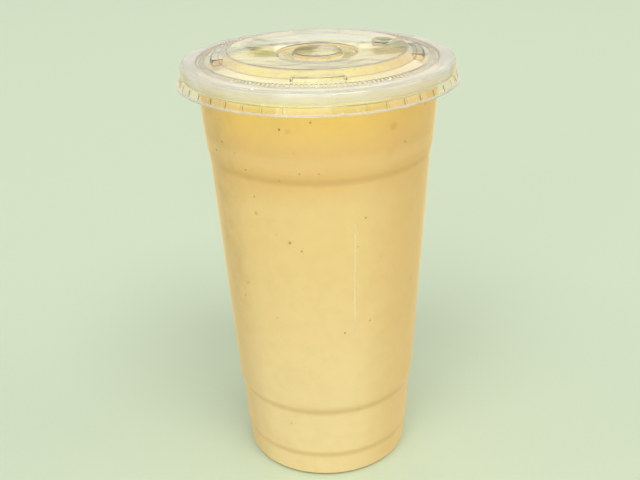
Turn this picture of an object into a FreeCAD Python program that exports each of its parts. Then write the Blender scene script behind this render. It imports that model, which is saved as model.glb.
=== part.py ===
import FreeCAD, Part
import math
import os
import Sketcher

# A takeaway cup of creamy drink with its flat press-fit lid: a thin thermoformed cup with two
# stacking shoulders and a rolled rim, the drink that fills it nearly to the rim, and a lid
# whose bead presses over the rolled rim.  Millimetres, +Z up, origin under the cup's middle.

SIZES = [
    # cup: outside radii at the heights beside them
    ("cup_height", 160.8), ("cup_wall", 0.45),
    ("foot_radius", 31.95), ("heel_round", 2.4),
    ("push_up", 3.2), ("push_radius", 24.0), ("push_run", 3.4), ("push_round", 1.2),
    ("foot_height", 10.6), ("foot_top_radius", 32.75), ("foot_rise", 1.4), ("foot_step", 0.3),
    ("band_height", 30.0), ("band_top_radius", 34.1),
    ("low_shoulder_rise", 4.6), ("low_shoulder_step", 1.15),
    ("mouth_depth", 34.3), ("body_top_radius", 41.05),
    ("high_shoulder_rise", 4.5), ("high_shoulder_step", 0.9),
    ("shoulder_round", 3.0), ("foot_round", 1.2),
    ("mouth_radius", 44.2), ("curl_radius", 2.6), ("curl_end", 60.0),
    # drink
    ("head_space", 5.8), ("drink_gap", 0.2),
    # lid, from its lip over the bead to the middle
    ("lid_sheet", 0.35), ("rim_gap", 0.25), ("skirt_depth", 6.8), ("skirt_flare", 1.2),
    ("lip_width", 0.7), ("lip_sheet", 0.4), ("snap_drop", 0.85), ("snap_bite", 0.3), ("snap_round", 0.5),
    ("bead_drop", 0.3), ("bead_top_run", 2.6), ("crest_rise", 0.5), ("bead_inner_run", 0.6),
    ("bead_shoulder", 1.6), ("bead_round", 0.7),
    ("gutter_drop", 0.5), ("gutter_round", 0.5),
    ("knurl_run", 2.7), ("knurl_rise", 0.85), ("shelf_run", 4.85), ("shelf_rise", 0.45),
    ("panel_run", 3.2), ("panel_rise", 2.55), ("panel_round", 0.8), ("panel_dish", 1.6),
    ("moat_radius", 14.7), ("moat_depth", 1.1), ("moat_draft", 0.5), ("moat_round", 0.5),
    ("button_radius", 8.8), ("button_rise", 1.6),
    # lid details: tabs on the shelf, round marker, ribs of the skirt, knurls beside the bead
    ("tab_reach", 1.8), ("tab_drop", 1.4), ("tab_draft", 0.6), ("tab_angle", 28.0), ("tab_count", 4),
    ("marker_radius", 3.9), ("marker_height", 0.35), ("marker_right", 24.0), ("marker_back", 9.8),
    ("rib_width", 0.8), ("rib_height", 0.28), ("rib_margin", 0.6), ("rib_count", 45),
    ("knurl_width", 0.75), ("knurl_height", 0.22), ("knurl_margin", 0.45), ("knurl_count", 160),
    ("root_depth", 0.12),
]

doc = FreeCAD.newDocument("drink_cup")
sheet = doc.addObject("Spreadsheet::Sheet", "Sizes")
for row, (alias, size) in enumerate(SIZES, start=1):
    sheet.set("A%d" % row, alias)
    sheet.set("B%d" % row, str(size))
    sheet.setAlias("B%d" % row, alias)
doc.recompute()
ALIASES = {alias for alias, _ in SIZES}


def bound(text):
    """Sheet expression for sums of sizes, such as "cup_height - curl_radius"."""
    words = text.replace("(", " ( ").replace(")", " ) ").split()
    return " ".join("Sizes." + word if word in ALIASES else word for word in words)


def value(text):
    """What such a sum comes to."""
    return float(sheet.evalExpression(bound(text)))


def new_body(name):
    body = doc.addObject("PartDesign::Body", name)
    body.Label = name
    body.Placement = FreeCAD.Placement()
    return body


def datum(body, role):
    return next(item for item in body.Origin.OriginFeatures if item.Role == role)


def new_sketch(body, name, role="XZ_Plane"):
    sketch = body.newObject("Sketcher::SketchObject", name)
    sketch.AttachmentSupport = [(datum(body, role), "")]
    sketch.MapMode = "FlatFace"
    return sketch


def bind(sketch, rule, name, text):
    """A dimension whose value follows the sheet."""
    index = sketch.addConstraint(rule)
    sketch.renameConstraint(index, name)
    sketch.setExpression("Constraints." + name, bound(text))


def pin(sketch, geometry, end, name, across, up):
    """Hold a point at sheet sizes from the origin, or on an axis where a size is 0."""
    for kind, axis, letter, text in (("DistanceX", -2, "x", across), ("DistanceY", -1, "z", up)):
        if text == "0":
            sketch.addConstraint(Sketcher.Constraint("PointOnObject", geometry, end, axis))
        else:
            rule = Sketcher.Constraint(kind, -1, 1, geometry, end, value(text))
            bind(sketch, rule, name + "_" + letter, text)


def outline(sketch, corners):
    """Closed outline of straight sides through corners (name, across, up, rounding or None).
    A rounded corner keeps the point where its sides would meet, which carries its sizes."""
    spots = [FreeCAD.Vector(value(across), value(up), 0) for _, across, up, _ in corners]
    arrive, leave, arcs = list(spots), list(spots), {}
    for i, spot in enumerate(spots):
        if corners[i][3] is None:
            continue
        radius = value(corners[i][3])
        back = (spots[i - 1] - spot).normalize()
        ahead = (spots[(i + 1) % len(spots)] - spot).normalize()
        half = back.getAngle(ahead) / 2
        arrive[i] = spot + back * (radius / math.tan(half))
        leave[i] = spot + ahead * (radius / math.tan(half))
        inward = (back + ahead).normalize()
        arcs[i] = Part.Arc(arrive[i], spot + inward * (radius / math.sin(half) - radius), leave[i])
    sides = [sketch.addGeometry(Part.LineSegment(leave[i], arrive[(i + 1) % len(spots)]))
             for i in range(len(spots))]
    for i, (name, across, up, rounding) in enumerate(corners):
        before, after = sides[i - 1], sides[i]
        if rounding is None:
            sketch.addConstraint(Sketcher.Constraint("Coincident", before, 2, after, 1))
            pin(sketch, after, 1, name, across, up)
            continue
        arc = sketch.addGeometry(arcs[i])
        first = sketch.getPoint(arc, 1).distanceToPoint(arrive[i])
        last = sketch.getPoint(arc, 2).distanceToPoint(arrive[i])
        near, far = (1, 2) if first < last else (2, 1)
        sketch.addConstraint(Sketcher.Constraint("Tangent", before, 2, arc, near))
        sketch.addConstraint(Sketcher.Constraint("Tangent", after, 1, arc, far))
        tip = sketch.addGeometry(Part.Point(spots[i]), True)
        sketch.addConstraint(Sketcher.Constraint("PointOnObject", tip, 1, before))
        sketch.addConstraint(Sketcher.Constraint("PointOnObject", tip, 1, after))
        pin(sketch, tip, 1, name, across, up)
        bind(sketch, Sketcher.Constraint("Radius", arc, value(rounding)), name + "_round", rounding)


def revolve(body, sketch, name, angle=None, kind="Revolution"):
    """Turn a section about the vertical axis, all round or evenly to both sides.  The kind
    Groove cuts instead of adding."""
    turned = body.newObject("PartDesign::" + kind, name)
    turned.Profile = sketch
    turned.ReferenceAxis = (sketch, ["V_Axis"])
    if angle is None:
        turned.Angle = 360
    else:
        turned.Midplane = True
        turned.setExpression("Angle", bound(angle))
    doc.recompute()
    return turned


def pad(body, sketch, name, length, both_sides):
    solid = body.newObject("PartDesign::Pad", name)
    solid.Profile = sketch
    solid.setExpression("Length", bound(length))
    solid.Midplane = both_sides
    doc.recompute()
    return solid


def round_about(body, features, name, count):
    """Repeat features evenly about the vertical axis."""
    pattern = body.newObject("PartDesign::PolarPattern", name)
    pattern.Originals = features
    pattern.Axis = (datum(body, "Z_Axis"), [""])
    pattern.Angle = 360
    pattern.setExpression("Occurrences", bound(count))
    body.Tip = pattern
    doc.recompute()
    return pattern


def shell(body, feature, name, open_at, thickness):
    """Hollow a feature inwards to a thin sheet, open at its level face at one height."""
    faces = feature.Shape.Faces
    level = [i for i, face in enumerate(faces, start=1)
             if face.BoundBox.ZLength < 1e-6 and abs(face.BoundBox.ZMin - value(open_at)) < 1e-6]
    skin = body.newObject("PartDesign::Thickness", name)
    skin.Base = (feature, ["Face%d" % i for i in level])
    skin.setExpression("Value", bound(thickness))
    skin.Mode = "Skin"
    skin.Join = "Intersection"
    skin.Reversed = True
    doc.recompute()
    return skin


# Heights and radii that the pieces share.
CURL_R = "( mouth_radius - cup_wall + curl_radius )"
CURL_Z = "( cup_height - curl_radius )"

# --- cup ---------------------------------------------------------------------------------
HIGH_Z = "( cup_height - mouth_depth )"
WALL = [
    ("heel", "foot_radius", "0", "heel_round"),
    ("foot_top", "foot_top_radius", "foot_height", "foot_round"),
    ("foot_ledge", "foot_top_radius + foot_step", "foot_height + foot_rise", "foot_round"),
    ("band_top", "band_top_radius", "band_height", "shoulder_round"),
    ("low_ledge", "band_top_radius + low_shoulder_step", "band_height + low_shoulder_rise",
     "shoulder_round"),
    ("body_top", "body_top_radius", HIGH_Z, "shoulder_round"),
    ("high_ledge", "body_top_radius + high_shoulder_step", HIGH_Z + " + high_shoulder_rise",
     "shoulder_round"),
]

cup = new_body("cup")
cup_section = new_sketch(cup, "cup_section")
outline(cup_section, [
    ("centre", "0", "push_up", None),
    ("push_in", "push_radius", "push_up", "push_round"),
    ("push_out", "push_radius + push_run", "0", "push_round"),
] + WALL + [
    ("mouth", "mouth_radius", CURL_Z, None),
    ("mouth_axis", "0", CURL_Z, None),
])
cup_form = revolve(cup, cup_section, "cup_form")
cup_shell = shell(cup, cup_form, "cup_shell", CURL_Z, "cup_wall")

# The rim: the wall's top rolled outwards and down, open underneath.
curl_section = new_sketch(cup, "curl_section")
curl_centre = FreeCAD.Vector(value(CURL_R), value(CURL_Z), 0)
rolls = []
for name, size in (("outer", "curl_radius"), ("inner", "curl_radius - cup_wall")):
    circle = Part.Circle(curl_centre, FreeCAD.Vector(0, 0, 1), value(size))
    roll = curl_section.addGeometry(Part.ArcOfCircle(circle, -math.radians(value("curl_end")), math.pi))
    bind(curl_section, Sketcher.Constraint("Radius", roll, value(size)), name + "_roll", size)
    pin(curl_section, roll, 3, name + "_centre", CURL_R, CURL_Z)
    curl_section.addConstraint(Sketcher.Constraint("Horizontal", roll, 2, roll, 3))
    rolls.append(roll)
for end in (1, 2):
    side = curl_section.addGeometry(Part.LineSegment(
        curl_section.getPoint(rolls[1], end), curl_section.getPoint(rolls[0], end)))
    curl_section.addConstraint(Sketcher.Constraint("Coincident", side, 1, rolls[1], end))
    curl_section.addConstraint(Sketcher.Constraint("Coincident", side, 2, rolls[0], end))
    if end == 1:
        curl_section.addConstraint(Sketcher.Constraint("PointOnObject", rolls[0], 3, side))
        bind(curl_section, Sketcher.Constraint("Angle", side, -math.radians(value("curl_end"))),
             "curl_end", "0 - curl_end")
cup_rim = revolve(cup, curl_section, "cup_rim")

# --- drink -------------------------------------------------------------------------------
# The inside of the cup, a named gap clear of the wall, up to its level under the rim.
INSET = "( cup_wall + drink_gap )"
MOUTH_DRAFT = ("( mouth_radius - body_top_radius - high_shoulder_step )"
               " / ( mouth_depth - high_shoulder_rise - curl_radius )")
DRINK_Z = "( cup_height - head_space )"
drink = new_body("drink")
drink_section = new_sketch(drink, "drink_section")
outline(drink_section, [
    ("centre", "0", "push_up + " + INSET, None),
    ("push_in", "push_radius + " + INSET, "push_up + " + INSET, None),
    ("push_out", "push_radius + push_run + " + INSET, INSET, None),
] + [
    (name, radius + " - " + INSET, up if up != "0" else INSET,
     "heel_round - " + INSET if name == "heel" else rounding) for name, radius, up, rounding in WALL
] + [
    ("level", "mouth_radius - " + INSET + " - ( head_space - curl_radius ) * " + MOUTH_DRAFT,
     DRINK_Z, None),
    ("level_axis", "0", DRINK_Z, None),
])
drink_form = revolve(drink, drink_section, "drink_form")

# --- lid ---------------------------------------------------------------------------------
# One thin sheet: lip, flared skirt, snap neck, bead round the rim, gutter, knurled slope,
# shelf, raised panel that dishes to the moat, and the round button in the middle.
BEAD = "( curl_radius + rim_gap + lid_sheet )"
NECK_R = "( " + CURL_R + " + " + BEAD + " - snap_bite )"
NECK_Z = "( " + CURL_Z + " - bead_drop - snap_drop )"
LIP_Z = "( cup_height - skirt_depth )"
BEAD_Z = "( " + CURL_Z + " + " + BEAD + " )"
BEAD_IN_R = "( " + CURL_R + " - bead_top_run )"
GUTTER_R = "( " + BEAD_IN_R + " - bead_inner_run )"
GUTTER_Z = "( " + BEAD_Z + " - gutter_drop )"
KNURL_R = "( " + GUTTER_R + " - knurl_run )"
KNURL_Z = "( " + GUTTER_Z + " + knurl_rise )"
SHELF_R = "( " + KNURL_R + " - shelf_run )"
SHELF_Z = "( " + KNURL_Z + " + shelf_rise )"
PANEL_R = "( " + SHELF_R + " - panel_run )"
PANEL_Z = "( " + SHELF_Z + " + panel_rise )"
MOAT_Z = "( " + PANEL_Z + " - panel_dish )"
MOAT_FLOOR = "( " + MOAT_Z + " - moat_depth )"
BUTTON_Z = "( " + MOAT_FLOOR + " + button_rise )"
SKIRT_DRAFT = "( skirt_flare / ( " + NECK_Z + " - " + LIP_Z + " ) )"
TAB_SLOPE_R = "( " + PANEL_R + " + panel_run * tab_drop / panel_rise )"

lid = new_body("lid")
lid_section = new_sketch(lid, "lid_section")
outline(lid_section, [
    ("lip_axis", "0", LIP_Z, None),
    ("skirt_low", NECK_R + " + skirt_flare", LIP_Z, None),
    ("neck", NECK_R, NECK_Z, "snap_round"),
    ("bead_low", CURL_R + " + " + BEAD, CURL_Z + " - bead_drop", "snap_round"),
    ("bead", CURL_R + " + " + BEAD, BEAD_Z, "bead_shoulder"),
    ("bead_in", BEAD_IN_R, BEAD_Z + " + crest_rise", "bead_round"),
    ("gutter", GUTTER_R, GUTTER_Z, "gutter_round"),
    ("knurl_top", KNURL_R, KNURL_Z, "snap_round"),
    ("shelf_in", SHELF_R, SHELF_Z, "gutter_round"),
    ("panel_edge", PANEL_R, PANEL_Z, "panel_round"),
    ("moat_edge", "moat_radius", MOAT_Z, "moat_round"),
    ("moat_out", "moat_radius - moat_draft", MOAT_FLOOR, "moat_round"),
    ("moat_in", "button_radius + moat_draft", MOAT_FLOOR, "moat_round"),
    ("button_edge", "button_radius", BUTTON_Z, "moat_round"),
    ("button_axis", "0", BUTTON_Z, None),
])
lid_form = revolve(lid, lid_section, "lid_form")

lid_shell = shell(lid, lid_form, "lid_shell", LIP_Z, "lid_sheet")

# The lip turned out round the skirt's lower edge.
SKIRT_R = "( " + NECK_R + " + skirt_flare )"
lip_section = new_sketch(lid, "lip_section")
outline(lip_section, [
    ("low_in", SKIRT_R + " - root_depth", LIP_Z, None),
    ("low_out", SKIRT_R + " + lip_width", LIP_Z, None),
    ("high_out", SKIRT_R + " + lip_width", LIP_Z + " + lip_sheet", None),
    ("high_in", SKIRT_R + " - root_depth - lip_sheet * " + SKIRT_DRAFT, LIP_Z + " + lip_sheet", None),
])
lid_lip = revolve(lid, lip_section, "lid_lip")

# Raised tabs on the shelf, against the panel's slope, hollow below like the rest of the sheet.
TAB_Z = "( " + PANEL_Z + " - tab_drop )"
TAB_R = "( " + KNURL_R + " - tab_reach )"
tab_section = new_sketch(lid, "tab_section")
outline(tab_section, [
    ("low_in", SHELF_R, SHELF_Z + " - root_depth", None),
    ("low_out", TAB_R, SHELF_Z + " - root_depth", None),
    ("high_out", TAB_R + " - tab_draft", TAB_Z, None),
    ("high_in", TAB_SLOPE_R + " - root_depth", TAB_Z, None),
])
tab = revolve(lid, tab_section, "tab", "tab_angle")
hollow_section = new_sketch(lid, "hollow_section")
outline(hollow_section, [
    ("low_in", TAB_SLOPE_R + " - lid_sheet", SHELF_Z + " - 2 * lid_sheet", None),
    ("low_out", TAB_R + " - lid_sheet", SHELF_Z + " - 2 * lid_sheet", None),
    ("high_out", TAB_R + " - tab_draft - lid_sheet", TAB_Z + " - lid_sheet", None),
    ("high_in", TAB_SLOPE_R + " - lid_sheet", TAB_Z + " - lid_sheet", None),
])
hollow = revolve(lid, hollow_section, "tab_hollow",
                 "tab_angle - 2 * lid_sheet / " + SHELF_R + " * 180 / pi", "Groove")
lid_tabs = round_about(lid, [tab, hollow], "lid_tabs", "tab_count")

# One round marker pressed up out of the panel.
PANEL_DRAFT = "( panel_dish / ( " + PANEL_R + " - moat_radius ) )"
MARKER_RING = "( marker_right ^ 2 + marker_back ^ 2 ) ^ 0.5"
MARKER_RUN = "( " + PANEL_R + " - " + MARKER_RING + " + marker_radius )"
MARKER_Z = "( " + PANEL_Z + " - " + MARKER_RUN + " * " + PANEL_DRAFT + " )"
marker_outline = new_sketch(lid, "marker_outline", "XY_Plane")
marker_outline.setExpression("AttachmentOffset.Base.z", bound(MARKER_Z + " - root_depth"))
disc = marker_outline.addGeometry(Part.Circle(
    FreeCAD.Vector(value("marker_right"), value("marker_back"), 0), FreeCAD.Vector(0, 0, 1),
    value("marker_radius")))
bind(marker_outline, Sketcher.Constraint("Radius", disc, value("marker_radius")), "marker_radius",
     "marker_radius")
pin(marker_outline, disc, 3, "marker", "marker_right", "marker_back")
lid_marker = pad(lid, marker_outline, "lid_marker",
                 "marker_height + root_depth + 2 * marker_radius * " + PANEL_DRAFT, False)

# Upright ribs round the skirt, from the lip nearly to the neck.
RIB_TOP = "( " + NECK_Z + " - rib_margin )"
RIB_TOP_R = "( " + NECK_R + " + rib_margin * " + SKIRT_DRAFT + " )"
rib_section = new_sketch(lid, "rib_section")
outline(rib_section, [
    ("low_in", SKIRT_R + " - root_depth", LIP_Z + " + root_depth", None),
    ("low_out", SKIRT_R + " + rib_height", LIP_Z + " + root_depth", None),
    ("high_out", RIB_TOP_R + " + rib_height", RIB_TOP, None),
    ("high_in", RIB_TOP_R + " - root_depth", RIB_TOP, None),
])
rib = pad(lid, rib_section, "rib", "rib_width", True)
lid_ribs = round_about(lid, [rib], "lid_ribs", "rib_count")

# Fine knurls up the slope between the gutter and the shelf.
KNURL_DRAFT = "( knurl_rise / knurl_run )"
KNURL_LOW_Z = "( " + GUTTER_Z + " + knurl_margin * " + KNURL_DRAFT + " )"
KNURL_HIGH_Z = "( " + KNURL_Z + " - knurl_margin * " + KNURL_DRAFT + " )"
knurl_section = new_sketch(lid, "knurl_section")
outline(knurl_section, [
    ("low_in", GUTTER_R + " - knurl_margin", KNURL_LOW_Z + " - root_depth", None),
    ("low_out", GUTTER_R + " - knurl_margin", KNURL_LOW_Z + " + knurl_height", None),
    ("high_out", KNURL_R + " + knurl_margin", KNURL_HIGH_Z + " + knurl_height", None),
    ("high_in", KNURL_R + " + knurl_margin", KNURL_HIGH_Z + " - root_depth", None),
])
knurl = pad(lid, knurl_section, "knurl", "knurl_width", True)
lid_knurls = round_about(lid, [knurl], "lid_knurls", "knurl_count")

# --- checks and files --------------------------------------------------------------------
doc.recompute()
for item in doc.Objects:
    if "Invalid" in item.State or "Error" in item.State:
        raise RuntimeError("%s did not build: %s" % (item.Name, item.State))
bodies = [item for item in doc.Objects if item.TypeId == "PartDesign::Body"]
for body in bodies:
    shape = body.Shape
    if shape.isNull() or not shape.isValid() or len(shape.Solids) != 1:
        raise RuntimeError("%s is not one valid solid" % body.Label)
os.makedirs("parts", exist_ok=True)
for body in bodies:
    body.Shape.exportStep("parts/%s.step" % body.Label)
    print(body.Label, "%.1f mm3" % body.Shape.Volume, len(body.Shape.Faces), "faces")
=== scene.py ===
# %% [markdown]
# # A pina colada in its takeaway cup
# The cup and the lid are two thin clear sheets that were made as CAD solids, and they are the
# right shape already, so they keep their meshes and only get their plastic.  The drink is made
# again here, because a liquid touches its cup all round, and a CAD solid has to stand clear.

# %% Load the fixed frame
import math

import bmesh
import bpy
import numpy as np
from mathutils import Matrix, Vector


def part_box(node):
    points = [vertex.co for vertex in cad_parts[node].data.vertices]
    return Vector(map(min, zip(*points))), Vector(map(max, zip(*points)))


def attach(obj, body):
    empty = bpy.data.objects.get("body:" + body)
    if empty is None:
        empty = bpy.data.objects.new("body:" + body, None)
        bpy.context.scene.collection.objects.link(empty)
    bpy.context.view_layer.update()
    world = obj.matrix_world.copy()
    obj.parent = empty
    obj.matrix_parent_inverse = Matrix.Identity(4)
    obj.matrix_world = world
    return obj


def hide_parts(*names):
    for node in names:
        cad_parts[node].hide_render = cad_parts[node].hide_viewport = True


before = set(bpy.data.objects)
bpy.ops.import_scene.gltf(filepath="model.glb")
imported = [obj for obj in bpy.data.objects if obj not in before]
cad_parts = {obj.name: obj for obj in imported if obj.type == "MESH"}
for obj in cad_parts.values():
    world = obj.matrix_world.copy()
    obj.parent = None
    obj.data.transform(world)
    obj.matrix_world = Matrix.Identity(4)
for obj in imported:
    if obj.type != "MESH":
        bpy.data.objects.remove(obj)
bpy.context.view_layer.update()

scene = bpy.context.scene
cup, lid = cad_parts["cup"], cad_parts["lid"]
cup_low, cup_high = (Vector(corner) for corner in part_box("cup"))
lid_high, drink_high = Vector(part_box("lid")[1]), Vector(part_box("drink")[1])
print("cup", [round(v * 1000, 1) for v in cup_high - cup_low], "mm; drink level",
      round(drink_high.z * 1000, 1), "mm; lid top", round(lid_high.z * 1000, 1), "mm")

# %% [markdown]
# ## Camera
# A lens of about 53 mm stands a little over a third of a metre from the cup and looks down on
# it at 24 degrees, so both the lid's rings and the standing ring show.  It is set by its three
# axes, because a camera held by hand is also turned a degree or two about its own line of sight.

# %% Place the camera
SENSOR_WIDTH = 36.0
LENS = 53.2
LOOK_DOWN = math.radians(24.08)
TURN = math.radians(1.70)
DISTANCE = 0.3701
AIM = Vector((-0.00103, 0.0, 0.0890))

forward = Vector((0.0, math.cos(LOOK_DOWN), -math.sin(LOOK_DOWN)))
level_right = Vector((1.0, 0.0, 0.0))
level_up = level_right.cross(forward)
right = level_right * math.cos(TURN) - level_up * math.sin(TURN)
up = level_right * math.sin(TURN) + level_up * math.cos(TURN)
camera_data = bpy.data.cameras.new("camera")
camera_data.sensor_width = SENSOR_WIDTH
camera_data.lens = LENS
camera_data.clip_start = 0.01
camera = bpy.data.objects.new("camera", camera_data)
facing = Matrix((right, up, -forward)).transposed().to_4x4()
camera.matrix_world = Matrix.Translation(AIM - forward * DISTANCE) @ facing
scene.collection.objects.link(camera)
scene.camera = camera
print("camera", [round(v, 4) for v in camera.matrix_world.translation])

# %% [markdown]
# ## Shader sums
# A procedural finish is mostly sums on numbers that vary over the surface.  `Wire` wraps an
# output socket so that those sums can be written as Python, and `Finish` makes the nodes.

# %% Helpers for materials
class Wire:
    """An output socket that Python can do sums with."""

    def __init__(self, finish, socket):
        self.finish, self.socket = finish, socket

    def _sum(self, operation, first, second):
        node = self.finish.node("ShaderNodeMath", {"operation": operation}, {0: first, 1: second})
        return Wire(self.finish, node.outputs[0])

    def __add__(self, other):
        return self._sum("ADD", self, other)

    def __sub__(self, other):
        return self._sum("SUBTRACT", self, other)

    def __rsub__(self, other):
        return self._sum("SUBTRACT", other, self)

    def __mul__(self, other):
        return self._sum("MULTIPLY", self, other)

    __radd__, __rmul__ = __add__, __mul__


class Finish:
    """A material whose nodes are made one by one."""

    def __init__(self, name, tree=None):
        if tree is None:
            self.material = bpy.data.materials.new(name)
            self.material.use_nodes = True
            tree = self.material.node_tree
        self.tree = tree
        self.tree.nodes.clear()

    def node(self, kind, settings=None, sockets=None):
        """A node: its settings first, then the values or links of its input sockets."""
        made = self.tree.nodes.new(kind)
        for name, setting in (settings or {}).items():
            setattr(made, name, setting)
        for key, item in (sockets or {}).items():
            if isinstance(item, Wire):
                self.tree.links.new(item.socket, made.inputs[key])
            else:
                made.inputs[key].default_value = item
        return made

    def wire(self, kind, settings=None, sockets=None, output=0):
        """A node of which only one output is needed."""
        return Wire(self, self.node(kind, settings, sockets).outputs[output])

    def mix(self, amount, first, second):
        """Blend two colours."""
        node = self.node("ShaderNodeMix", {"data_type": "RGBA"}, {"Factor": amount})
        for name, item in (("A", first), ("B", second)):
            socket = [s for s in node.inputs if s.name == name and s.type == "RGBA"][0]
            if isinstance(item, Wire):
                self.tree.links.new(item.socket, socket)
            else:
                socket.default_value = item
        return Wire(self, [s for s in node.outputs if s.type == "RGBA"][0])

    def absolute(self, amount):
        """How far a number is from zero, whichever its sign."""
        return self.wire("ShaderNodeMath", {"operation": "ABSOLUTE"}, {0: amount})

    def ramp(self, amount, low, high):
        """0 up to low, 1 from high on, smooth between; with low over high it runs downwards."""
        return self.wire("ShaderNodeMapRange", {"interpolation_type": "SMOOTHSTEP"},
                         {"Value": amount, "From Min": low, "From Max": high})


def linear(red, green, blue):
    """A colour given as on a screen, 0 to 255, as the linear colour that nodes use."""
    values = []
    for level in (red, green, blue):
        level = level / 255
        values.append(level / 12.92 if level <= 0.04045 else ((level + 0.055) / 1.055) ** 2.4)
    return (*values, 1.0)


print("mid grey 128 is", round(linear(128, 128, 128)[0], 3), "as a linear colour")

# %% [markdown]
# ## Table and backdrop
# One wide flat sheet of pale green paper stands for table and backdrop, so no edge shows
# between them.  Only in mirror-like reflections does it turn to a warm cream: a clear lid
# mostly shows what it mirrors, and above a creamy drink that is a warm room.

# %% Floor
PALE_GREEN = linear(211, 224, 196)
GRAIN_GREEN = linear(207, 220, 192)
MIRRORED_CREAM = linear(246, 226, 168)
FLOOR_RADIUS = 3.0
FLOOR_SIDES = 96
FLOOR_DROP = 0.0001

floor_mesh = bpy.data.meshes.new("table")
floor_rim = [(FLOOR_RADIUS * math.cos(turn), FLOOR_RADIUS * math.sin(turn), -FLOOR_DROP)
             for turn in np.linspace(0, 2 * math.pi, FLOOR_SIDES + 1)[:-1]]
floor_mesh.from_pydata(floor_rim, [], [list(range(FLOOR_SIDES))])
floor = bpy.data.objects.new("table", floor_mesh)
scene.collection.objects.link(floor)
print("table", 2 * FLOOR_RADIUS, "m across,", FLOOR_DROP * 1000, "mm under the cup")

# %% Paper
# A ray that has gone through clear plastic counts as glossy too, so most of those stay green.
STAYS_GREEN = 0.7

paper = Finish("pale_green_paper")
grain = paper.wire("ShaderNodeTexNoise", None, {
    "Vector": paper.wire("ShaderNodeTexCoord", output=3), "Scale": 900.0, "Detail": 2.0})
paths = paper.node("ShaderNodeLightPath")
through_plastic = Wire(paper, paths.outputs["Is Transmission Ray"])
in_a_mirror = Wire(paper, paths.outputs["Is Glossy Ray"]) * (1.0 - through_plastic * STAYS_GREEN)
green = paper.mix(grain, GRAIN_GREEN, PALE_GREEN)
paper_surface = paper.wire("ShaderNodeBsdfPrincipled", None, {
    "Base Color": paper.mix(in_a_mirror, green, MIRRORED_CREAM),
    "Roughness": 0.9, "Specular IOR Level": 0.1})
paper.node("ShaderNodeOutputMaterial", None, {"Surface": paper_surface})
floor_mesh.materials.append(paper.material)
print("paper has", len(paper.tree.nodes), "nodes")

# %% [markdown]
# ## The room
# The room lights everything with an even white, and where it is seen it is as green as the
# paper.  What the lid mirrors is a third thing: a warm wall, softly uneven, with a darker
# place ahead on either side, such as shelves.  Light Path keeps the three apart.

# %% Room light
WHITE = (1.0, 1.0, 1.0, 1.0)
WARM_WALL = (1.0, 0.965, 0.885, 1.0)
ROOM_STRENGTH = 0.41
DARKEST = 0.85

world = bpy.data.worlds.new("room")
world.use_nodes = True
scene.world = world
room = Finish("room", world.node_tree)
direction = room.wire("ShaderNodeTexCoord")
heading = room.node("ShaderNodeSeparateXYZ", None, {0: direction})
to_right, ahead, upward = (Wire(room, heading.outputs[axis]) for axis in "XYZ")


def dark_place(side, near, far, middle, half_height):
    """A soft dark place in the mirrored room, to the right (side 1) or left (side -1).  near,
    far and half_height are each two numbers, between which it fades."""
    across = to_right * side
    above = room.absolute(upward - middle)
    return (room.ramp(across, near[0], near[1]) * room.ramp(across, far[1], far[0])
            * room.ramp(above, half_height[1], half_height[0]))


shelves = ((dark_place(-1.0, (-0.008, 0.002), (0.020, 0.034), 0.242, (0.066, 0.102))
            + dark_place(1.0, (0.016, 0.028), (0.09, 0.13), 0.222, (0.045, 0.080)))
           * room.ramp(ahead, 0.2, 0.5))
unevenness = room.wire("ShaderNodeTexNoise", None, {
    "Vector": direction, "Scale": 9.0, "Detail": 1.0, "Roughness": 0.4})
brightness = room.ramp(unevenness, 0.40, 0.60) * 0.25 + 0.72 - shelves * DARKEST

# %% Join the room's three looks
white_light = room.wire("ShaderNodeBackground", None, {"Color": WHITE, "Strength": ROOM_STRENGTH})
in_mirrors = room.wire("ShaderNodeBackground", None, {"Color": WARM_WALL, "Strength": brightness})
plain_view = room.wire("ShaderNodeBackground", None, {"Color": PALE_GREEN, "Strength": 1.0})
rays = room.node("ShaderNodeLightPath")
seen = Wire(room, rays.outputs["Is Camera Ray"]) + Wire(room, rays.outputs["Is Transmission Ray"])
mirrored = Wire(room, rays.outputs["Is Glossy Ray"])
lit = room.wire("ShaderNodeMixShader", None, {0: mirrored, 1: white_light, 2: in_mirrors})
both = room.wire("ShaderNodeMixShader", None, {0: seen, 1: lit, 2: plain_view})
room.node("ShaderNodeOutputWorld", None, {"Surface": both})
print("room has", len(room.tree.nodes), "nodes")

# %% [markdown]
# ## Lamps
# Two large soft key lights stand high in front, left and right, so that the shadow falls
# softly behind the cup.  A fill light low in front lifts the upright wall, and weak lights at
# both sides and behind round it off.  All six are as good as infinitely far away, so they
# light the whole sheet of paper alike.  Seven small lamps nearby add glints to the lid.

# %% Lamps
# Name, degrees to the right of the camera's side, degrees up, width in degrees, strength.
FAR_LAMPS = (("key_left", -27, 54, 30, 0.68), ("key_right", 29, 54, 30, 0.88),
             ("fill", -12, 14, 50, 0.68), ("left_painted_shade", -82, 28, 40, 0.14),
             ("right_painted_shade", 82, 28, 40, 0.34), ("back", 178, 40, 50, 0.20))
# Degrees to the right and degrees up.
SMALL_LAMPS = ((-50, 48), (-18, 62), (14, 44), (47, 58), (150, 40), (-160, 46), (178, 62))
SMALL_LAMP_REACH = 1.2
SMALL_LAMP_SIZE = 0.022
SMALL_LAMP_POWER = 0.20
LID_CENTRE = Vector((0, 0, 0.16))


def heading_to(side, rise):
    """The direction that lies side degrees to the right of the camera's side and rise up."""
    side, rise = math.radians(side), math.radians(rise)
    return Vector((math.sin(side) * math.cos(rise), -math.cos(side) * math.cos(rise),
                   math.sin(rise)))


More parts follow.
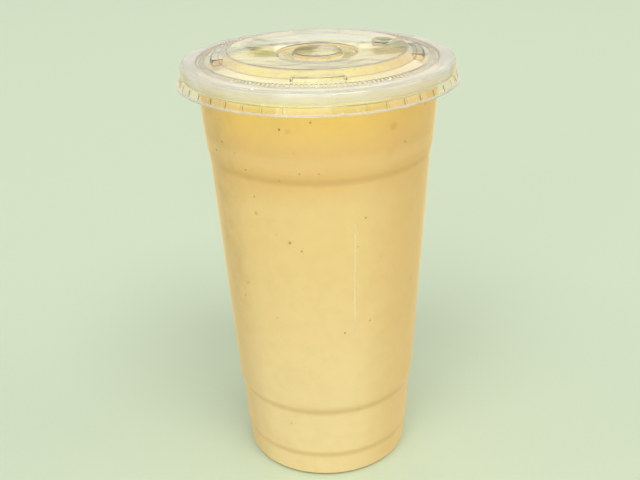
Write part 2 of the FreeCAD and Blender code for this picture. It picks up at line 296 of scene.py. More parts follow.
def add_lamp(name, data, place, aim):
    """Stand a lamp at a place and turn it to shine along aim."""
    lamp = bpy.data.objects.new(name, data)
    turn = aim.to_track_quat("-Z", "Y").to_matrix().to_4x4()
    lamp.matrix_world = Matrix.Translation(place) @ turn
    scene.collection.objects.link(lamp)


for name, side, rise, width, strength in FAR_LAMPS:
    far_lamp = bpy.data.lights.new(name, "SUN")
    far_lamp.angle = math.radians(width)
    far_lamp.energy = strength
    add_lamp(name, far_lamp, heading_to(side, rise) * 2, -heading_to(side, rise))
for number, (side, rise) in enumerate(SMALL_LAMPS):
    small_lamp = bpy.data.lights.new("spot_%d" % number, "AREA")
    small_lamp.shape = "RECTANGLE"
    small_lamp.size = small_lamp.size_y = SMALL_LAMP_SIZE
    small_lamp.energy = SMALL_LAMP_POWER
    reach = heading_to(side, rise) * SMALL_LAMP_REACH
    add_lamp(small_lamp.name, small_lamp, LID_CENTRE + reach, -reach)

# %% [markdown]
# ## The drink
# The liquid is a turned solid.  Its outline is read from the CAD drink and moved out by the
# gap that stands between that solid and the wall, and a little more, so that its skin lies
# inside the thickness of the plastic and no line of air shows.  Sweeping one outline round the
# axis was chosen because a liquid takes the shape of its cup, and the cup is turned too.

# %% Read the outline
# The CAD drink stands GAP clear of the plastic, and the new skin goes INTO_WALL further.
GAP = 0.0002
INTO_WALL = 0.00012
# The heel's curve is this high and this wide.  Inside it lies the floor, with a little height
# to spare, and all the rest is the wall.
HEEL_HEIGHT = 0.0042
HEEL_ROUND = 0.0035
FLOOR_SPARE = 0.002
# Points nearer to each other than this count as one.
LEAST_STEP = 4e-5

corners = np.array([v.co[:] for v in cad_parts["drink"].data.vertices])
pairs = np.unique(np.round(np.c_[np.hypot(corners[:, 0], corners[:, 1]), corners[:, 2]], 5), axis=0)
heel = pairs[pairs[:, 1] < HEEL_HEIGHT][:, 0].max() - HEEL_ROUND
floor_part = pairs[(pairs[:, 1] < HEEL_HEIGHT + FLOOR_SPARE) & (pairs[:, 0] <= heel)]
wall_part = pairs[(pairs[:, 0] > heel) & (pairs[:, 1] < drink_high.z + 1e-6)]
floor_part = floor_part[np.argsort(floor_part[:, 0])]
wall_part = wall_part[np.argsort(wall_part[:, 1])]
outline = np.vstack([floor_part, wall_part])
keep = np.r_[True, np.hypot(*np.diff(outline, axis=0).T) > LEAST_STEP]
outline = outline[keep]
print(len(outline), "outline points, from the middle of the floor to",
      np.round(outline[-1] * 1000, 2), "mm")

# %% Move it out to the wall and add the curve where it climbs the plastic
steps = np.gradient(outline, axis=0)
outward = np.c_[steps[:, 1], -steps[:, 0]] / np.hypot(*steps.T)[:, None]
skin = outline + outward * (GAP + INTO_WALL)
skin[0] = 0.0, outline[0][1] - GAP - INTO_WALL

# How high the drink climbs its wall, over what width, and how quickly that falls off.
CLIMB = 0.0014
CLIMB_RUN = 0.0026
CLIMB_CURVE = 2.4
TOP_RINGS = 33
lean = (skin[-2][0] - skin[-3][0]) / (skin[-2][1] - skin[-3][1])
level = drink_high.z
skin[-1] = skin[-2] + (level - skin[-2][1]) * np.array([lean, 1.0])
rim = skin[-1] + CLIMB * np.array([lean, 1.0])
climbing = [(rim[0] - CLIMB_RUN * t, level + CLIMB * (1 - t) ** CLIMB_CURVE)
            for t in np.linspace(0, 1, 9)]
flat_radii = np.linspace(climbing[-1][0], 0, TOP_RINGS + 1)[1:]
top = [(radius, level) for radius in flat_radii]
profile = np.vstack([skin, climbing, top])
print("drink climbs to", round(climbing[0][1] * 1000, 2), "mm at radius",
      round(rim[0] * 1000, 2), "mm")

# %% Sweep the outline round the axis
TURNS = 256
# The height of the top's slow waves, and the width by the wall over which they fade out.
SWELL = 0.00013
CALM_EDGE = 0.006


def swell(x, y):
    """The slow unevenness of a poured creamy surface, a few tenths of a millimetre high."""
    return SWELL * (math.sin(190 * x + 1.3) * math.cos(160 * y - 0.4)
                    + 0.7 * math.sin(330 * y + 210 * x) + 0.5 * math.cos(520 * x - 410 * y + 2.0))


def sweep(points, turns, lift):
    """Corners and faces of a closed solid that is swept from (radius, height) points, whose
    two ends lie on the axis; lift gives how much higher each point goes."""
    verts, faces, rings = [], [], []
    for number, (radius, height) in enumerate(points):
        if number in (0, len(points) - 1):
            rings.append([len(verts)] * turns)
            verts.append((0.0, 0.0, height + lift(0, 0, number)))
            continue
        ring = []
        for step in range(turns):
            angle = 2 * math.pi * step / turns
            x, y = radius * math.cos(angle), radius * math.sin(angle)
            ring.append(len(verts))
            verts.append((x, y, height + lift(x, y, number)))
        rings.append(ring)
    for low, high in zip(rings, rings[1:]):
        for step in range(turns):
            after = (step + 1) % turns
            corner = [low[step], low[after], high[after], high[step]]
            faces.append(list(dict.fromkeys(corner)))
    return verts, faces


def smooth_piece(name, verts, faces):
    """A smooth-shaded object with these corners and faces."""
    mesh = bpy.data.meshes.new(name)
    mesh.from_pydata(verts, [], faces)
    mesh.shade_smooth()
    mesh.update()
    made = bpy.data.objects.new(name, mesh)
    scene.collection.objects.link(made)
    return made


first_flat = len(skin) + len(climbing)


def lift_top(x, y, number):
    """Only the open surface swells, and not where it meets the wall."""
    if number < first_flat:
        return 0.0
    inside = min(1.0, (flat_radii[0] - math.hypot(x, y)) / CALM_EDGE)
    return swell(x, y) * max(0.0, inside)


cream = smooth_piece("drink_body", *sweep(profile, TURNS, lift_top))
volume_check = bmesh.new()
volume_check.from_mesh(cream.data)
print("drink", round(volume_check.calc_volume(signed=True) * 1e6, 1), "ml,",
      len(cream.data.polygons), "faces")
volume_check.free()

# %% [markdown]
# ## Creamy yellow
# Pineapple, coconut milk and ice are blended to an opaque liquid.  It is a warm orange yellow
# near the lid and a paler yellow lower down, with soft cloudy patches where it has begun to
# part, and its open top froths a little and is painted lighter, as light from above.  Painted
# shade darkens both sides, the left edge most, and the folds of the wall, and painted light
# lies in a band above the upper fold.  The colour is built up in layers: each one is a mask,
# made from the height, the side or a noise, and a tint to lay on there.

# %% Places on the drink
first_wall = int(np.argmin(np.abs(skin[:, 1] - HEEL_HEIGHT) + (skin[:, 0] < heel)))


def on_wall(angle, height):
    """A place on the drink's skin: angle in degrees to the right of the side that faces the
    camera, height in metres."""
    radius = np.interp(height, skin[first_wall:, 1], skin[first_wall:, 0])
    angle = math.radians(angle)
    return Vector((radius * math.sin(angle), -radius * math.cos(angle), height))


print("skin at half height:", [round(v, 4) for v in on_wall(0, 0.08)])

# %% Tints
PAINTED_LIGHT_TOP_YELLOW = linear(254, 236, 146)
FROTH_WHITE = linear(255, 245, 196)
UNDER_LID = linear(246, 203, 104)
WARM_TOP = linear(236, 193, 117)
MIDDLE = linear(241, 208, 139)
PALE_LOW = linear(244, 217, 160)
RIGHT_SHADE_ORANGE = linear(225, 178, 106)
LEFT_SHADE_BROWN = linear(200, 162, 104)
PARTED = linear(214, 180, 116)
OLIVE = linear(192, 156, 92)
SOFT_CREAM = linear(242, 214, 154)
CURD = linear(216, 170, 92)
FOLD_SHADE = linear(204, 158, 90)
PAINTED_LIGHT_CREAM = linear(243, 212, 148)
FRUIT = linear(220, 158, 84)
print("the middle of the drink is", [round(v, 3) for v in MIDDLE[:3]], "as a linear colour")

# %% What the drink's colour varies with
# The body's radius is nearly its foot radius and a small share of the height.
FOOT_RADIUS = 0.0328
TAPER = 0.07

creamy = Finish("pineapple_cream")
place = creamy.wire("ShaderNodeTexCoord", output=3)
split = creamy.node("ShaderNodeSeparateXYZ", None, {0: place})
height = Wire(creamy, split.outputs["Z"])
sideways = Wire(creamy, split.outputs["X"])
to_side = creamy.wire("ShaderNodeMath", {"operation": "DIVIDE"}, {
    0: sideways, 1: height * TAPER + FOOT_RADIUS})


def cloudiness(scale, detail, roughness=0.5):
    """A soft noise over the drink: a bigger scale gives smaller clouds."""
    return creamy.wire("ShaderNodeTexNoise", None, {
        "Vector": place, "Scale": scale, "Detail": detail, "Roughness": roughness})


wide_clouds = cloudiness(15.0, 2.0)
clouds = cloudiness(42.0, 3.0)
mottle = cloudiness(190.0, 3.0, 0.6)
fine = cloudiness(900.0, 3.0)

# %% Layers from the base up to the open top, with painted light on the top and painted shade on the right side
# Two heights between which each change of colour runs.
PALE_LOW_TO_MIDDLE = (0.10, 0.02)
MIDDLE_TO_WARM = (0.114, 0.131)
WARM_TO_UNDER_LID = (0.137, 0.150)
WALL_TO_TOP = (0.1522, 0.1550)
FROTH_STARTS = (0.1544, 0.1549)

low_share = creamy.ramp(height + (wide_clouds - 0.5) * 0.05, *PALE_LOW_TO_MIDDLE)
high_share = creamy.ramp(height + (wide_clouds - 0.5) * 0.02, *MIDDLE_TO_WARM)
lid_share = creamy.ramp(height + (clouds - 0.5) * 0.012, *WARM_TO_UNDER_LID)
colour = creamy.mix(low_share, MIDDLE, PALE_LOW)
colour = creamy.mix(high_share, colour, WARM_TOP)
colour = creamy.mix(lid_share, colour, UNDER_LID)
# Painted light: the open top is lighter, as lit from above.
colour = creamy.mix(creamy.ramp(height, *WALL_TO_TOP), colour, PAINTED_LIGHT_TOP_YELLOW)
froth_islands = creamy.ramp(clouds, 0.40, 0.64) * creamy.ramp(height, *FROTH_STARTS)
colour = creamy.mix(froth_islands * 0.45, colour, FROTH_WHITE)
# Painted shade: the right side turns a darker orange towards its edge.
right_painted_shade = creamy.ramp(to_side, 0.22, 0.75)
colour = creamy.mix(right_painted_shade * 0.50, colour, RIGHT_SHADE_ORANGE)
print("drink's froth starts", round(FROTH_STARTS[0] * 1000, 1), "mm up")

# %% Cloudy patches, mostly to the left, where the drink has begun to part, and painted shade down the left side
patch = creamy.ramp(clouds, 0.50, 0.68) * creamy.ramp(sideways, 0.006, -0.030)
colour = creamy.mix(patch * 0.35, colour, PARTED)
# Painted shade: the left side turns brown towards its edge.
left_painted_shade = creamy.ramp(to_side, -0.58, -0.97)
colour = creamy.mix(left_painted_shade * 0.50, colour, LEFT_SHADE_BROWN)
left_edge = creamy.ramp(sideways, -0.026, -0.038) * creamy.ramp(height, 0.058, 0.085)
mottled = creamy.ramp(mottle, 0.40, 0.66) * (left_edge * 0.28 + 0.07)
colour = creamy.mix(mottled, colour, OLIVE)
colour = creamy.mix(creamy.ramp(clouds, 0.35, 0.75) * 0.12, colour, SOFT_CREAM)
colour = creamy.mix(creamy.ramp(fine, 0.60, 0.72) * 0.08, colour, CURD)

# %% Painted shade in darker lines where the wall folds in at its steps, and painted light in a lighter band above the upper one
# Height and half height of each line.
FOLDS = ((0.1282, 0.0021), (0.0320, 0.0022), (0.0110, 0.0021))
FOLD_CORE = 0.0002
BAND_HEIGHT = 0.1345
BAND_HALF = (0.0036, 0.0010)

# Painted shade: each fold is a darker line.
for fold, half in FOLDS:
    off = creamy.absolute(height - fold)
    colour = creamy.mix(creamy.ramp(off, half, FOLD_CORE) * 0.36, colour, FOLD_SHADE)
# Painted light: a lighter band just above the upper fold.
painted_light_band = creamy.ramp(creamy.absolute(height - BAND_HEIGHT), *BAND_HALF)
colour = creamy.mix(painted_light_band * 0.25, colour, PAINTED_LIGHT_CREAM)

# %% Soft spots of fruit under the skin
# Degrees to the right, height, radius, and how strongly each spot shows.
SOFT_SPOTS = ((35, 0.1454, 0.0021, 0.55), (-14, 0.1467, 0.0013, 0.35),
              (-17, 0.1051, 0.0012, 0.40), (34, 0.1360, 0.0024, 0.16),
              (-48, 0.0840, 0.0012, 0.30), (160, 0.090, 0.0022, 0.35))

for angle, at_height, radius, share in SOFT_SPOTS:
    away = creamy.wire("ShaderNodeVectorMath", {"operation": "DISTANCE"}, {
        0: place, 1: tuple(on_wall(angle, at_height))}, output=1)
    colour = creamy.mix(creamy.ramp(away, radius, radius * 0.35) * share, colour, FRUIT)

pits = creamy.wire("ShaderNodeBump", None, {
    "Height": fine, "Strength": 0.15, "Distance": 0.0002})
surface = creamy.wire("ShaderNodeBsdfPrincipled", None, {
    "Base Color": colour, "Roughness": fine * 0.15 + 0.42, "Normal": pits,
    "Specular IOR Level": 0.35})
creamy.node("ShaderNodeOutputMaterial", None, {"Surface": surface})
cream.data.materials.append(creamy.material)
print("drink finish has", len(creamy.tree.nodes), "nodes")

# %% [markdown]
# ## Clear plastic
# Both sheets are thin clear plastic, drawn hot over a mould.  It bends what is behind it and
# mirrors the lamps.  A little of it is milky, most where it was drawn thick, and in places more
# milk stands for painted highlights and reflections; its face has slow ripples that make the
# reflections wander.  In places its colour is painted warm, as the glow of the creamy drink
# behind it, and its tight bends get painted shade.
# Rays from the lamps and rays of soft light go straight through, so that the drink behind it
# isn't left dark.

# %% Plastic finish
CLEAR = (0.99, 0.99, 0.985, 1.0)
GLOW_CLEAR = (0.98, 0.92, 0.74, 1.0)
MILKY_DARK = (0.67, 0.64, 0.56, 1.0)
MILKY_LIGHT = (0.74, 0.72, 0.66, 1.0)
GLOW_MILKY = (0.96, 0.84, 0.55, 1.0)
STRAIGHT_THROUGH = (0.985, 0.985, 0.98, 1.0)


def clear_plastic(name, tint, painted_bend_shade, ripple_scale, ripple, milk, extra):
    """Glass-like sheet with slow ripples.  milk is the share that scatters light; extra gives,
    for a place on the sheet, more milk, more height, how much painted bend shade it gets, and
    how much painted glow of the drink it gets.  The bend tint is the colour of the painted bend
    shade."""
    sheet = Finish(name)
    place = sheet.wire("ShaderNodeTexCoord", output=3)
    slow = sheet.wire("ShaderNodeTexNoise", None, {
        "Vector": place, "Scale": ripple_scale, "Detail": 1.5, "Roughness": 0.45})
    dust = sheet.wire("ShaderNodeTexNoise", None, {
        "Vector": place, "Scale": 1400.0, "Detail": 2.0})
    # The fourth value is the painted glow of the drink behind the sheet.
    more_milk, more_height, shaded_bends, painted_glow = extra(sheet, place)
    waves = sheet.wire("ShaderNodeBump", None, {
        "Height": slow * ripple + more_height, "Strength": 1.0, "Distance": 0.001})

    def tinted(first, second, glow_colour):
        """A colour that drifts with the ripples, with painted shade at bends and the drink's
        painted glow.
        """
        drift = sheet.mix(sheet.ramp(slow, 0.3, 0.7), first, second)
        return sheet.mix(painted_glow, sheet.mix(shaded_bends, drift, painted_bend_shade), glow_colour)

    body = sheet.wire("ShaderNodeBsdfPrincipled", None, {
        "Base Color": tinted(tint, CLEAR, GLOW_CLEAR),
        "Roughness": sheet.ramp(dust, 0.45, 0.75) * 0.04 + 0.02, "IOR": 1.50,
        "Transmission Weight": 1.0, "Normal": waves})
    haze = sheet.wire("ShaderNodeBsdfPrincipled", None, {
        "Base Color": tinted(MILKY_DARK, MILKY_LIGHT, GLOW_MILKY),
        "Roughness": sheet.ramp(dust, 0.4, 0.8) * 0.1 + 0.18, "Normal": waves})
    share = sheet.ramp(dust, 0.2, 0.9) * 0.01 + milk + more_milk
    bodied = sheet.wire("ShaderNodeMixShader", None, {0: share, 1: body, 2: haze})
    clear = sheet.wire("ShaderNodeBsdfTransparent", None, {"Color": STRAIGHT_THROUGH})
    rays = sheet.node("ShaderNodeLightPath")
    soft = sheet.wire("ShaderNodeMixShader", None, {
        0: Wire(sheet, rays.outputs["Is Diffuse Ray"]), 1: bodied, 2: clear})
    lamp = sheet.wire("ShaderNodeMixShader", None, {
        0: Wire(sheet, rays.outputs["Is Shadow Ray"]), 1: soft, 2: clear})
    sheet.node("ShaderNodeOutputMaterial", None, {"Surface": lamp})
    print(name, "has", len(sheet.tree.nodes), "nodes")
    return sheet.material


def around(sheet, place):
    """Distance from the cup's axis, angle round it, and height, as three values."""
    split = sheet.node("ShaderNodeSeparateXYZ", None, {0: place})
    x, y, z = (Wire(sheet, split.outputs[axis]) for axis in "XYZ")
    flat = sheet.wire("ShaderNodeVectorMath", {"operation": "MULTIPLY"}, {
        0: place, 1: (1.0, 1.0, 0.0)})
    radius = sheet.wire("ShaderNodeVectorMath", {"operation": "LENGTH"}, {0: flat}, output=1)
    angle = sheet.wire("ShaderNodeMath", {"operation": "ARCTAN2"}, {0: y, 1: x})
    return radius, angle, z


# %% [markdown]
# ## What sets the lid apart
# The sheet is milky where the bead folds over the rim, which partly stands for a painted
# reflection, and its cut edge is painted as a pale highlight line.  Beside the bead runs a ring
# of fine flutes with pale stripes of painted highlight, and every tight bend gets a little
# painted shade.  The skirt, which stands right before the drink, is painted warm with its glow.

# %% Lid
BEAD_IN = 0.0432
BEAD_FOOT = 0.1574
FLUTES = 160
FLUTES_IN = (0.0402, 0.0408)
FLUTES_OUT = (0.0446, 0.0440)
# Radius and half width of each tight bend.
BENDS = ((0.0437, 0.0005), (0.0356, 0.0004), (0.0324, 0.0004), (0.0144, 0.0006),
         (0.0088, 0.0004))


def lid_detail(sheet, place):
    """More milk, more height, how much painted bend shade, and how much painted drink glow the lid
    has at a place.
    """
    radius, angle, z = around(sheet, place)
    # The bead is milky, and its milk partly stands for a painted reflection.
    bead_milk_and_reflection = (sheet.ramp(radius, BEAD_IN - 0.0003, BEAD_IN + 0.0008)
            * sheet.ramp(z, BEAD_FOOT - 0.0006, BEAD_FOOT + 0.0008))
    wave = sheet.wire("ShaderNodeMath", {"operation": "COSINE"}, {0: angle * FLUTES})
    fluted = sheet.ramp(radius, *FLUTES_IN) * sheet.ramp(radius, *FLUTES_OUT)
    # Painted highlight: pale stripes along the flutes.
    flute_highlight = sheet.ramp(wave, 0.1, 0.8) * fluted
    # Painted shade at each tight bend.
    bend_shading = 0.0
    for bend, half in BENDS:
        off = sheet.absolute(radius - bend)
        bend_shading = sheet.ramp(off, half, half * 0.2) * 0.7 + bend_shading
    # Painted highlight: the cut edge of the lip is a pale line.
    cut_edge_highlight = sheet.ramp(z, 0.1549, 0.1544) * sheet.ramp(radius, 0.0497, 0.0504)
    # Painted glow of the drink on the skirt.
    skirt_glow = sheet.ramp(z, 0.1574, 0.1562) * sheet.ramp(z, 0.1544, 0.1548)
    more_milk = bead_milk_and_reflection * 0.21 + cut_edge_highlight * 0.40 + bend_shading * 0.22 + flute_highlight * 0.30
    return more_milk, wave * fluted * 0.08, bend_shading, skirt_glow * 0.8


lid_plastic = clear_plastic("clear_lid_plastic", (0.99, 0.98, 0.955, 1.0), (0.60, 0.46, 0.36, 1.0),
                            110.0, 0.14, 0.03, lid_detail)

# %% [markdown]
# ## What sets the cup apart
# One upright painted highlight runs down the wall, a scratch-thin pale milky line with small
# breaks in it.  The rim is a touch milky, the edge of the heel gets a dark painted shadow, and
# the wall just under the lip and the streak are painted warm, as the glow of the brightest part
# of the drink behind them.

# %% Cup
# Where the painted highlight streak runs: its angle, and the heights where it fades in and out.
STREAK_ANGLE = math.radians(-90 + 16.5)
STREAK_FOOT = (0.066, 0.074)
STREAK_TOP = (0.114, 0.108)


def cup_detail(sheet, place):
    """More milk, more height, how much painted heel shadow, and how much painted drink glow the cup
    has at a place.
    """
    _, angle, z = around(sheet, place)
    # Painted highlight: a pale streak down the wall.
    line = sheet.ramp(sheet.absolute(angle - STREAK_ANGLE), 0.020, 0.002)
    length = sheet.ramp(z, *STREAK_FOOT) * sheet.ramp(z, *STREAK_TOP)
    breaks = sheet.wire("ShaderNodeTexNoise", None, {
        "Vector": place, "Scale": 260.0, "Detail": 1.0})
    streak_highlight = line * length * (sheet.ramp(breaks, 0.30, 0.65) * 0.3 + 0.7)
    rim = sheet.ramp(z, 0.1570, 0.1590)
    # Painted shadow: the edge of the heel is dark.
    heel_shadow = sheet.ramp(z, 0.0020, 0.0011)
    # Painted glow of the drink just under the lip.
    under_lip_glow = sheet.ramp(z, 0.1440, 0.1500) * sheet.ramp(z, 0.1560, 0.1550)
    more_milk = streak_highlight * 0.42 + rim * 0.06 + heel_shadow * 0.70
    return more_milk, 0.0, heel_shadow, streak_highlight + under_lip_glow * 0.5


cup_plastic = clear_plastic("clear_cup_plastic", (0.985, 0.985, 0.97, 1.0), (0.17, 0.17, 0.12, 1.0),
                            60.0, 0.10, 0.01, cup_detail)

# %% Give both CAD nodes their plastic
for node, plastic in ((cup, cup_plastic), (lid, lid_plastic)):
    for slot in node.material_slots:
        slot.material = plastic
print("slots:", len(cup.material_slots), "on the cup,", len(lid.material_slots), "on the lid")

# %% [markdown]
# ## Bubbles and bits
# Blending leaves small bubbles along the wall at the surface, and a few dark specks of spice
# and soft bits of fruit show against the plastic.  They are scattered over the drink's own
# skin with Geometry Nodes: points are thrown on the faces, and a small shape goes on each.

# %% Scattering tree
def scatter_tree(name, material, low_normal, high_normal, low_z, high_z):
    """Points on the faces of a host whose upward tilt and height lie between limits, each with
    a small round shape on it."""
    tree = bpy.data.node_groups.new(name, "GeometryNodeTree")
    face = tree.interface
    face.new_socket("Host", in_out="INPUT", socket_type="NodeSocketGeometry")
    for label in ("Density", "Smallest", "Largest", "Flatness"):
        face.new_socket(label, in_out="INPUT", socket_type="NodeSocketFloat")
    face.new_socket("Seed", in_out="INPUT", socket_type="NodeSocketInt")
    face.new_socket("Scattered", in_out="OUTPUT", socket_type="NodeSocketGeometry")

    def add(kind, settings=None, sockets=None):
        """A node: its settings first, then the values or links of its input sockets."""
        node = tree.nodes.new(kind)
        for key, setting in (settings or {}).items():
            setattr(node, key, setting)
        for key, item in (sockets or {}).items():
            if isinstance(item, bpy.types.NodeSocket):
                tree.links.new(item, node.inputs[key])
            else:
                node.inputs[key].default_value = item
        return node

    def between(socket, low, high):
        """Whether a number lies between two limits."""
        above = add("FunctionNodeCompare", {"operation": "GREATER_THAN"}, {0: socket, 1: low})
        below = add("FunctionNodeCompare", {"operation": "LESS_THAN"}, {0: socket, 1: high})
        return add("FunctionNodeBooleanMath", {"operation": "AND"}, {
            0: above.outputs[0], 1: below.outputs[0]})

    given = add("NodeGroupInput").outputs
    normal = add("GeometryNodeInputNormal").outputs["Normal"]
    position = add("GeometryNodeInputPosition").outputs[0]
    tilt = add("ShaderNodeSeparateXYZ", None, {0: normal}).outputs["Z"]
    where = add("ShaderNodeSeparateXYZ", None, {0: position}).outputs["Z"]
    chosen = add("FunctionNodeBooleanMath", {"operation": "AND"}, {
        0: between(tilt, low_normal, high_normal).outputs[0],
        1: between(where, low_z, high_z).outputs[0]})
    thrown = add("GeometryNodeDistributePointsOnFaces", {"distribute_method": "RANDOM"}, {
        "Mesh": given["Host"], "Selection": chosen.outputs[0], "Density": given["Density"],
        "Seed": given["Seed"]})
    size = add("FunctionNodeRandomValue", {"data_type": "FLOAT"}, {
        "Min": given["Smallest"], "Max": given["Largest"], "Seed": given["Seed"]})
    stretch = add("ShaderNodeCombineXYZ", None, {"X": 1.0, "Y": 1.0, "Z": given["Flatness"]})
    scale = add("ShaderNodeVectorMath", {"operation": "SCALE"}, {0: stretch.outputs[0]})
    tree.links.new([s for s in size.outputs if s.enabled][0], scale.inputs["Scale"])
    ball = add("GeometryNodeMeshUVSphere", None, {"Segments": 10, "Rings": 6, "Radius": 1.0})
    smooth = add("GeometryNodeSetShadeSmooth", None, {"Geometry": ball.outputs["Mesh"]})
    placed = add("GeometryNodeInstanceOnPoints", None, {
        "Points": thrown.outputs["Points"], "Instance": smooth.outputs[0],
        "Rotation": thrown.outputs["Rotation"], "Scale": scale.outputs[0]})
    real = add("GeometryNodeRealizeInstances", None, {"Geometry": placed.outputs[0]})
    coloured = add("GeometryNodeSetMaterial", None, {
        "Geometry": real.outputs[0], "Material": material})
    result = add("NodeGroupOutput")
    tree.links.new(coloured.outputs[0], result.inputs[0])
    return tree


def scatter(name, host, tree, **inputs):
    """Run a scattering tree on a copy of the host and keep the result as a plain mesh."""
    stand = bpy.data.objects.new(name + "_host", host.data.copy())
    scene.collection.objects.link(stand)
    modifier = stand.modifiers.new("scatter", "NODES")
    modifier.node_group = tree
    for item in tree.interface.items_tree:
        if item.item_type == "SOCKET" and item.in_out == "INPUT" and item.name in inputs:
            modifier[item.identifier] = inputs[item.name]
    ready = stand.evaluated_get(bpy.context.evaluated_depsgraph_get())
    mesh = bpy.data.meshes.new_from_object(ready)
    stand.modifiers.remove(modifier)
    bpy.data.objects.remove(stand)
    finish = [material for material in mesh.materials if material is not None][-1]
    mesh.materials.clear()
    mesh.materials.append(finish)
    mesh.polygons.foreach_set("material_index", [0] * len(mesh.polygons))
    made = bpy.data.objects.new(name, mesh)
    scene.collection.objects.link(made)
    print(name, len(mesh.polygons), "faces,", finish.name)
    return made


# %% Finishes of the scattered things
def small_finish(name, first, second, rough, scale):
    """A slightly mottled finish for things a fraction of a millimetre across."""
    made = Finish(name)
    spots = made.wire("ShaderNodeTexNoise", None, {
        "Vector": made.wire("ShaderNodeTexCoord", output=3), "Scale": scale, "Detail": 2.0})
    body = made.wire("ShaderNodeBsdfPrincipled", None, {
        "Base Color": made.mix(made.ramp(spots, 0.35, 0.65), first, second),
        "Roughness": spots * 0.2 + rough, "Coat Weight": made.ramp(spots, 0.1, 0.9) * 0.3})
    made.node("ShaderNodeOutputMaterial", None, {"Surface": body})
    return made.material


film = small_finish("froth_film", linear(240, 216, 158), linear(228, 196, 130), 0.08, 500.0)
spice = small_finish("brown_speck", linear(150, 104, 52), linear(184, 136, 74), 0.50, 1500.0)
pulp = small_finish("fruit_bit", linear(220, 172, 94), linear(230, 186, 110), 0.40, 700.0)

# Painted highlights: the rim bubbles are white and glossy, as their glints.
glint_bubble = Finish("bubble_painted_glint")
swirl = glint_bubble.wire("ShaderNodeTexNoise", None, {
    "Vector": glint_bubble.wire("ShaderNodeTexCoord", output=3), "Scale": 600.0, "Detail": 1.0})
bubble_body = glint_bubble.wire("ShaderNodeBsdfPrincipled", None, {
    "Base Color": glint_bubble.mix(swirl, linear(255, 253, 246), linear(255, 250, 232)),
    "Roughness": swirl * 0.05 + 0.05})
glint_bubble.node("ShaderNodeOutputMaterial", None, {"Surface": bubble_body})
glint_white_film = glint_bubble.material
print("small finishes:", [finish.name for finish in (film, spice, pulp, glint_white_film)])

# %% Scatter them
# Where the drink's skin faces up is its open top, and elsewhere is its wall.
OPEN_TOP = (0.3, 1.1)
WALL = (-0.4, 0.3)

froth_tree = scatter_tree("throw_froth", film, *OPEN_TOP, level - 0.001, level + 0.01)
froth = scatter("froth_bubbles", cream, froth_tree,
                Density=52000.0, Smallest=0.00012, Largest=0.00045, Flatness=0.7, Seed=4)
speck_tree = scatter_tree("throw_specks", spice, *WALL, 0.006, level - 0.002)
specks = scatter("spice_specks", cream, speck_tree,
                 Density=420.0, Smallest=0.00012, Largest=0.00030, Flatness=0.25, Seed=11)
bit_tree = scatter_tree("throw_bits", pulp, *WALL, 0.012, level - 0.004)
bits = scatter("fruit_bits", cream, bit_tree,
               Density=300.0, Smallest=0.0003, Largest=0.0008, Flatness=0.08, Seed=23)

# %% [markdown]
# ## Specks and bubbles with a place of their own
# A thrown handful never lands just where the eye expects something, so the larger specks and
# the air bubbles along the rim are set one by one.  Each is a small ball, swept like the drink,
# squashed flat against the wall and centred on the drink's skin, so that half of it stands in
# the drink.

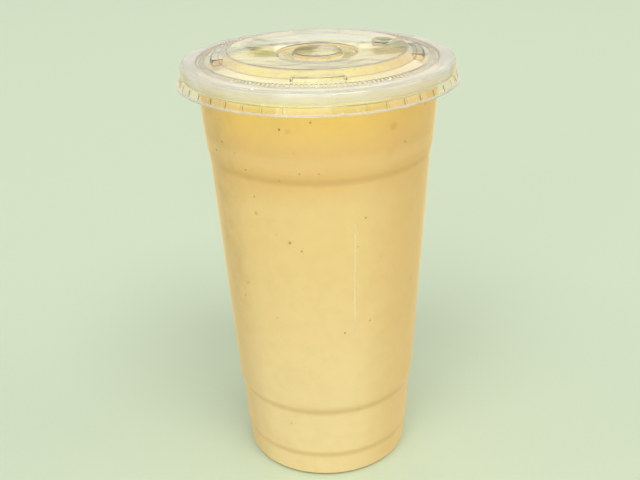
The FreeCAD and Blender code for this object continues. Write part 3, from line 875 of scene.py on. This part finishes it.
# %% Specks and bubbles one by one
# Degrees to the right, height in millimetres, radius in millimetres.
SPECKS = ((11, 67.8, 0.34), (20, 31.9, 0.30), (-25, 24.9, 0.26), (-4, 150.0, 0.34),
          (43, 138.6, 0.34), (57, 149.5, 0.40), (-17, 105.1, 0.42), (-11, 102.1, 0.36),
          (22, 113.5, 0.30), (-53, 138.7, 0.42), (-60, 134.3, 0.44), (-46, 84.9, 0.34),
          (-64, 99.4, 0.34), (-51, 78.1, 0.30), (-35, 121.0, 0.26), (-20, 128.5, 0.26),
          (95, 60.0, 0.36), (140, 118.0, 0.40), (-130, 74.0, 0.34), (178, 40.0, 0.34),
          (-18, 147.2, 0.42), (-12, 139.2, 0.22), (-10, 131.6, 0.26), (-1, 131.6, 0.22),
          (-38, 130.8, 0.26), (32, 96.8, 0.20), (18, 102.8, 0.26), (26, 71.2, 0.26),
          (35, 64.4, 0.20), (-28, 73.2, 0.26), (-24, 107.6, 0.20), (-66, 98.0, 0.30),
          (-44, 136.0, 0.24))
BUBBLES = ((-18.8, 152.4, 0.34), (-14.8, 153.4, 0.42), (-14.3, 151.8, 0.36), (10.0, 152.5, 0.40),
           (16.6, 153.1, 0.34), (19.2, 152.6, 0.36), (35.0, 152.0, 0.36), (67.0, 151.5, 0.36),
           (-60.0, 152.8, 0.36), (110.0, 152.2, 0.40), (150.0, 153.0, 0.34),
           (-150.0, 152.5, 0.40), (-105.0, 152.0, 0.34))

# A ball of this many sides and rings, turned by half a side.
BALL_SIDES = 10
BALL_RINGS = 6
half_step = Matrix.Rotation(math.pi / BALL_SIDES, 4, "Z")
slopes = [math.pi * ring / BALL_RINGS for ring in range(BALL_RINGS + 1)]
ball_line = [(math.sin(slope), -math.cos(slope)) for slope in slopes]
ball_corners, ball_faces = sweep(ball_line, BALL_SIDES, lambda x, y, number: 0.0)


def place_dots(name, places, thickness, material):
    """Small squashed balls centred on the drink's skin, each a little wider or narrower."""
    verts, faces = [], []
    for number, (angle, at_height, size) in enumerate(places):
        wide = size / 1000
        stretch = 1 + 0.25 * math.sin(5 * number)
        squash = Matrix.Diagonal((wide * stretch, wide * thickness, wide, 1.0))
        turn = Matrix.Rotation(math.radians(angle), 4, "Z")
        place = Matrix.Translation(on_wall(angle, at_height / 1000))
        shape = place @ turn @ squash @ half_step
        faces.extend([len(verts) + corner for corner in face] for face in ball_faces)
        verts.extend(shape @ Vector(corner) for corner in ball_corners)
    piece = smooth_piece(name, verts, faces)
    piece.data.materials.append(material)
    print(name, len(faces), "faces")
    return piece


seen_specks = place_dots("seen_specks", SPECKS, 0.30, spice)
# The rim bubbles carry painted white glints.
rim_bubbles = place_dots("rim_bubbles", BUBBLES, 0.35, glint_white_film)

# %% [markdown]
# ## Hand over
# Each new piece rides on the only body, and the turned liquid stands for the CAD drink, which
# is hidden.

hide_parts("drink")
for piece in (cream, froth, specks, bits, seen_specks, rim_bubbles):
    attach(piece, "root")

scene.view_settings.view_transform = "Standard"
